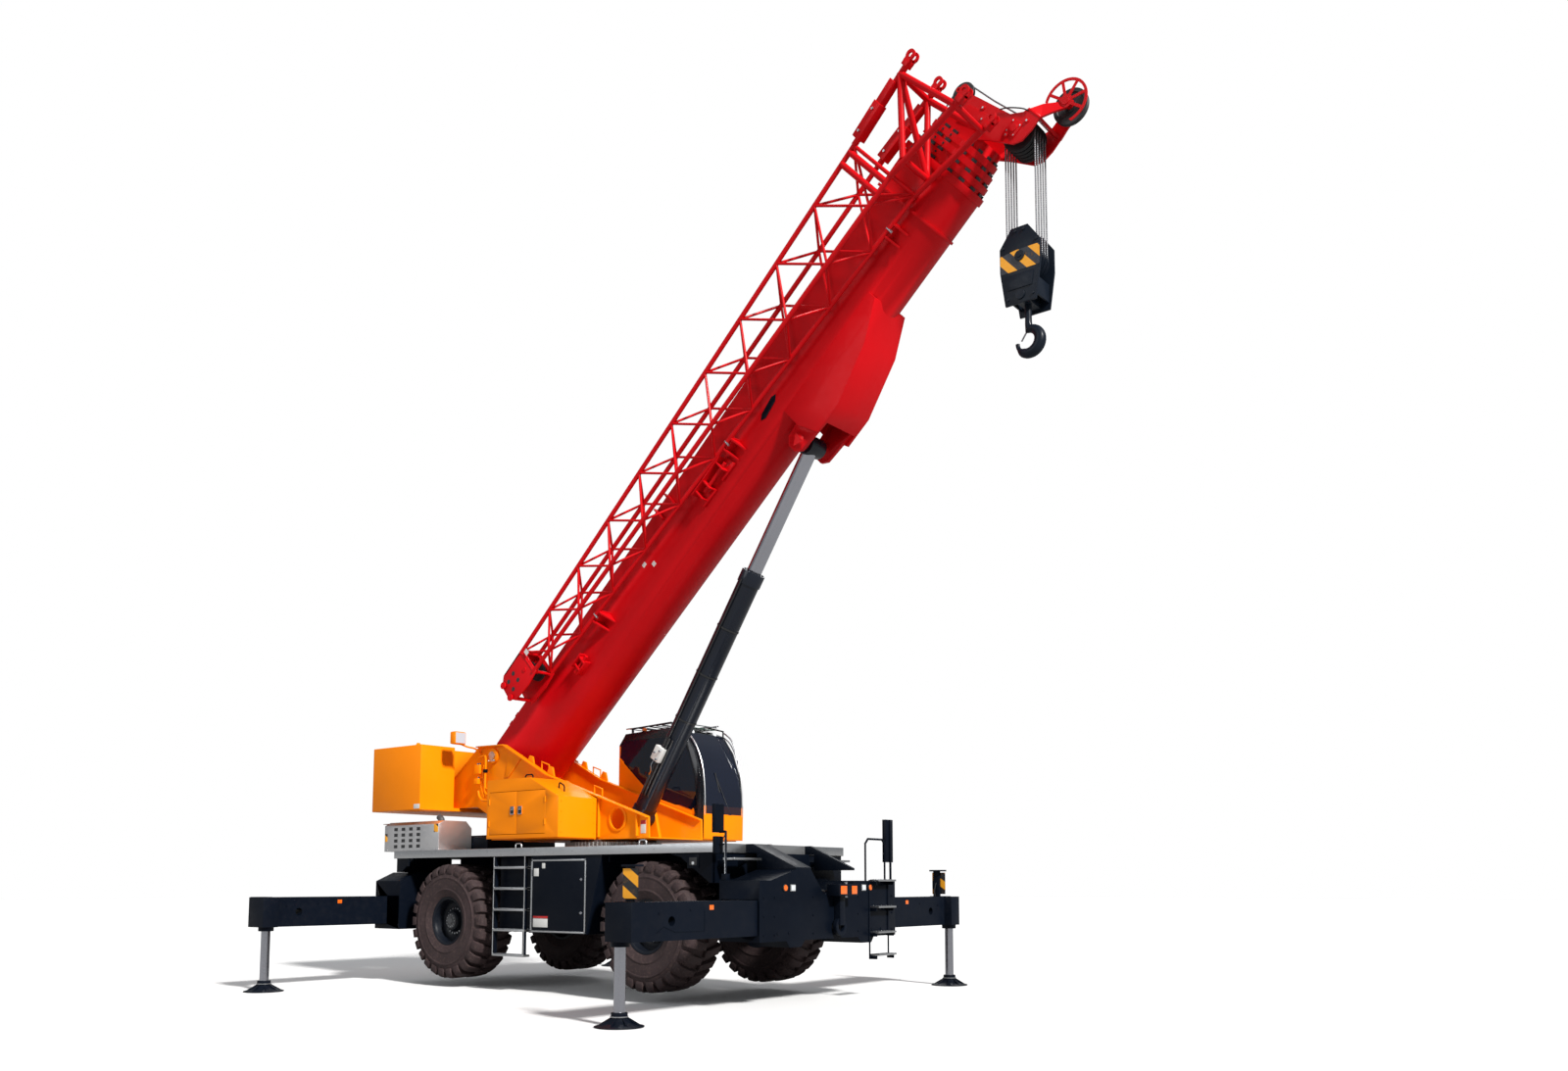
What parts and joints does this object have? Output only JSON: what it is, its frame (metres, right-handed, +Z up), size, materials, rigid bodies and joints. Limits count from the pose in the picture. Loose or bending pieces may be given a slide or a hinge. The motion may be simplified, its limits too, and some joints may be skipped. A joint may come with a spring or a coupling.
{
  "type": "mobile crane",
  "caption": "Two-axle rough-terrain crane on outriggers with a telescopic boom raised, lattice jib stowed alongside, side cab, counterweight and hook block.",
  "frame": {"origin": "middle of the whole crane's box, on the ground under the float pads", "axes": "+X forward along the carrier and the boom, +Y to the crane's left, +Z up"},
  "size_m": [13.2184, 8.28, 12.7631],
  "materials": {
    "carrier_black": "gloss",
    "deck_silver": "brushed",
    "stainless": "brushed",
    "cast_iron": "rough",
    "crane_yellow": "gloss",
    "boom_red": "gloss",
    "cab_black": "gloss",
    "tyre_rubber": "matte",
    "rim_black": "gloss",
    "glass": "clear",
    "seat_fabric": "matte",
    "chrome": "polished",
    "lamp_glass": "gloss",
    "hook_black": "satin",
    "rope_steel": "greased"
  },
  "bodies": {
    "carrier": {"chassis_frame": "carrier_black", "engine_block": "cast_iron", "outrigger_boxes": "carrier_black", "deck": "deck_silver", "side_lockers": "carrier_black", "ladders": "carrier_black", "front_fittings": "carrier_black", "axles": "carrier_black", "slew_ring": "cast_iron", "exhaust_hood": "stainless", "engine_hood": "carrier_black", "tow_hitch": "crane_yellow", "lamps": "lamp_glass"},
    "superstructure": {"upper_frame": "crane_yellow", "counterweight": "crane_yellow", "cabinet": "crane_yellow", "cab_shell": "cab_black", "cab_glass": "glass", "cab_seat": "seat_fabric"},
    "cabinet_door_rear": {"cabinet_door_rear": "crane_yellow"},
    "cabinet_door_front": {"cabinet_door_front": "crane_yellow"},
    "cab_door": {"cab_door": "cab_black", "cab_door_glass": "glass"},
    "winch_drum": {"winch_drum": "rope_steel"},
    "boom_foot_pin": {"boom_foot_pin": "chrome"},
    "boom_base": {"boom_base": "boom_red", "jib": "boom_red"},
    "main_sheaves": {"main_sheaves": "cast_iron"},
    "hook_block": {"hook_block": "hook_black", "hoist_ropes": "rope_steel"},
    "hook": {"hook": "hook_black"},
    "ram_base_pin": {"ram_base_pin": "chrome"},
    "ram_barrel": {"ram_barrel": "rim_black"},
    "ram_piston": {"ram_piston": "cast_iron"},
    "ram_rod": {"ram_rod": "chrome"},
    "boom_section_1": {"boom_section_1": "boom_red"},
    "boom_section_2": {"boom_section_2": "boom_red"},
    "boom_section_3": {"boom_section_3": "boom_red"},
    "boom_section_4": {"boom_section_4": "boom_red", "head_sheaves": "cast_iron"},
    "outrigger_beam_front_right": {"outrigger_beam_front_right": "carrier_black"},
    "jack_front_right": {"jack_front_right": "chrome"},
    "knuckle_front_right": {"knuckle_front_right": "cast_iron"},
    "wheel_front_right": {"rim_front_right": "rim_black", "tyre_front_right": "tyre_rubber"},
    "outrigger_beam_front_left": {"outrigger_beam_front_left": "carrier_black"},
    "jack_front_left": {"jack_front_left": "chrome"},
    "knuckle_front_left": {"knuckle_front_left": "cast_iron"},
    "wheel_front_left": {"rim_front_left": "rim_black", "tyre_front_left": "tyre_rubber"},
    "outrigger_beam_rear_right": {"outrigger_beam_rear_right": "carrier_black"},
    "jack_rear_right": {"jack_rear_right": "chrome"},
    "knuckle_rear_right": {"knuckle_rear_right": "cast_iron"},
    "wheel_rear_right": {"rim_rear_right": "rim_black", "tyre_rear_right": "tyre_rubber"},
    "outrigger_beam_rear_left": {"outrigger_beam_rear_left": "carrier_black"},
    "jack_rear_left": {"jack_rear_left": "chrome"},
    "knuckle_rear_left": {"knuckle_rear_left": "cast_iron"},
    "wheel_rear_left": {"rim_rear_left": "rim_black", "tyre_rear_left": "tyre_rubber"}
  },
  "joints": [
    {"name": "beam_out_front_right", "type": "slide", "parent": "carrier", "child": "outrigger_beam_front_right", "axis": [0, -1, 0], "range_m": [-2.05, 0]},
    {"name": "jack_down_front_right", "type": "slide", "parent": "outrigger_beam_front_right", "child": "jack_front_right", "axis": [0, 0, -1], "range_m": [-0.4, 0]},
    {"name": "steer_front_right", "type": "hinge", "parent": "carrier", "child": "knuckle_front_right", "pos_m": [0.355, -0.98, 1.074], "axis": [0, 0, 1], "range_deg": [-25, 25]},
    {"name": "spin_front_right", "type": "hinge", "parent": "knuckle_front_right", "child": "wheel_front_right", "pos_m": [0.355, -1.25, 1.074], "axis": [0, 1, 0], "continuous": true},
    {"name": "beam_out_front_left", "type": "slide", "parent": "carrier", "child": "outrigger_beam_front_left", "axis": [0, 1, 0], "range_m": [-2.05, 0]},
    {"name": "jack_down_front_left", "type": "slide", "parent": "outrigger_beam_front_left", "child": "jack_front_left", "axis": [0, 0, -1], "range_m": [-0.4, 0]},
    {"name": "steer_front_left", "type": "hinge", "parent": "carrier", "child": "knuckle_front_left", "pos_m": [0.355, 0.98, 1.074], "axis": [0, 0, 1], "range_deg": [-25, 25]},
    {"name": "spin_front_left", "type": "hinge", "parent": "knuckle_front_left", "child": "wheel_front_left", "pos_m": [0.355, 1.25, 1.074], "axis": [0, 1, 0], "continuous": true},
    {"name": "beam_out_rear_right", "type": "slide", "parent": "carrier", "child": "outrigger_beam_rear_right", "axis": [0, -1, 0], "range_m": [-2.05, 0]},
    {"name": "jack_down_rear_right", "type": "slide", "parent": "outrigger_beam_rear_right", "child": "jack_rear_right", "axis": [0, 0, -1], "range_m": [-0.4, 0]},
    {"name": "steer_rear_right", "type": "hinge", "parent": "carrier", "child": "knuckle_rear_right", "pos_m": [-4.175, -0.98, 1.074], "axis": [0, 0, 1], "range_deg": [-25, 25]},
    {"name": "spin_rear_right", "type": "hinge", "parent": "knuckle_rear_right", "child": "wheel_rear_right", "pos_m": [-4.175, -1.25, 1.074], "axis": [0, 1, 0], "continuous": true},
    {"name": "beam_out_rear_left", "type": "slide", "parent": "carrier", "child": "outrigger_beam_rear_left", "axis": [0, 1, 0], "range_m": [-2.05, 0]},
    {"name": "jack_down_rear_left", "type": "slide", "parent": "outrigger_beam_rear_left", "child": "jack_rear_left", "axis": [0, 0, -1], "range_m": [-0.4, 0]},
    {"name": "steer_rear_left", "type": "hinge", "parent": "carrier", "child": "knuckle_rear_left", "pos_m": [-4.175, 0.98, 1.074], "axis": [0, 0, 1], "range_deg": [-25, 25]},
    {"name": "spin_rear_left", "type": "hinge", "parent": "knuckle_rear_left", "child": "wheel_rear_left", "pos_m": [-4.175, 1.25, 1.074], "axis": [0, 1, 0], "continuous": true},
    {"name": "slew", "type": "hinge", "parent": "carrier", "child": "superstructure", "pos_m": [-1.91, 0, 2.385], "axis": [0, 0, 1], "continuous": true},
    {"name": "cabinet_door_rear_swing", "type": "hinge", "parent": "superstructure", "child": "cabinet_door_rear", "pos_m": [-3.2297, -1.5, 2.8], "axis": [0, 0, -1], "range_deg": [0, 110]},
    {"name": "cabinet_door_front_swing", "type": "hinge", "parent": "superstructure", "child": "cabinet_door_front", "pos_m": [-1.8903, -1.5, 2.8], "axis": [0, 0, 1], "range_deg": [0, 110]},
    {"name": "cab_door_slide", "type": "slide", "parent": "superstructure", "child": "cab_door", "axis": [-1, 0, 0], "range_m": [0, 0.75]},
    {"name": "winch_turn", "type": "hinge", "parent": "superstructure", "child": "winch_drum", "pos_m": [-5.1, 0, 3.52], "axis": [0, 1, 0], "continuous": true},
    {"name": "luff_lower", "type": "hinge", "parent": "superstructure", "child": "boom_foot_pin", "pos_m": [-4.23, 0, 3.88], "axis": [0, -1, 0], "range_deg": [-42.3, 0]},
    {"name": "luff_raise", "type": "hinge", "parent": "boom_foot_pin", "child": "boom_base", "pos_m": [-4.23, 0, 3.88], "axis": [0, -1, 0], "range_deg": [0, 37.7]},
    {"name": "ram_tilt_lower", "type": "hinge", "parent": "superstructure", "child": "ram_base_pin", "pos_m": [-1.29, 0, 2.75], "axis": [0, -1, 0], "range_deg": [-57.58, 0]},
    {"name": "ram_tilt_raise", "type": "hinge", "parent": "ram_base_pin", "child": "ram_barrel", "pos_m": [-1.29, 0, 2.75], "axis": [0, -1, 0], "range_deg": [0, 35.95]},
    {"name": "ram_reach_lower", "type": "slide", "parent": "ram_barrel", "child": "ram_piston", "axis": [0.5381, 0, 0.8429], "range_m": [-1748.59349, 0]},
    {"name": "ram_reach_raise", "type": "slide", "parent": "ram_piston", "child": "ram_rod", "axis": [0.5381, 0, 0.8429], "range_m": [0, 2022.67234]},
    {"name": "telescope_1", "type": "slide", "parent": "boom_base", "child": "boom_section_1", "axis": [0.7396, 0, 0.673], "range_m": [0, 8.75]},
    {"name": "telescope_2", "type": "slide", "parent": "boom_section_1", "child": "boom_section_2", "axis": [0.7396, 0, 0.673], "range_m": [0, 8.75]},
    {"name": "telescope_3", "type": "slide", "parent": "boom_section_2", "child": "boom_section_3", "axis": [0.7396, 0, 0.673], "range_m": [0, 8.75]},
    {"name": "telescope_4", "type": "slide", "parent": "boom_section_3", "child": "boom_section_4", "axis": [0.7396, 0, 0.673], "range_m": [0, 8.75]},
    {"name": "plumb_lower", "type": "hinge", "parent": "boom_section_4", "child": "main_sheaves", "pos_m": [5.71126, 0, 11.58734], "axis": [0, -1, 0], "range_deg": [0, 42.3]},
    {"name": "plumb_raise", "type": "hinge", "parent": "main_sheaves", "child": "hook_block", "pos_m": [5.71126, 0, 11.58734], "axis": [0, -1, 0], "range_deg": [-37.7, 0]},
    {"name": "hook_swivel", "type": "hinge", "parent": "hook_block", "child": "hook", "pos_m": [5.71126, 0, 10.27734], "axis": [0, 0, 1], "continuous": true}
  ],
  "couplings": [
    {"joint": "steer_front_left", "follows": "steer_front_right", "ratio": 1},
    {"joint": "steer_rear_left", "follows": "steer_rear_right", "ratio": 1},
    {"joint": "ram_tilt_lower", "follows": "luff_lower", "ratio": 1.361},
    {"joint": "ram_tilt_raise", "follows": "luff_raise", "ratio": 0.95325},
    {"joint": "ram_reach_lower", "follows": "luff_lower", "m_per_rad": 2368.5},
    {"joint": "ram_reach_raise", "follows": "luff_raise", "m_per_rad": 3074},
    {"joint": "telescope_2", "follows": "telescope_1", "ratio": 1},
    {"joint": "telescope_3", "follows": "telescope_1", "ratio": 1},
    {"joint": "telescope_4", "follows": "telescope_1", "ratio": 1},
    {"joint": "plumb_lower", "follows": "luff_lower", "ratio": -1},
    {"joint": "plumb_raise", "follows": "luff_raise", "ratio": -1}
  ]
}
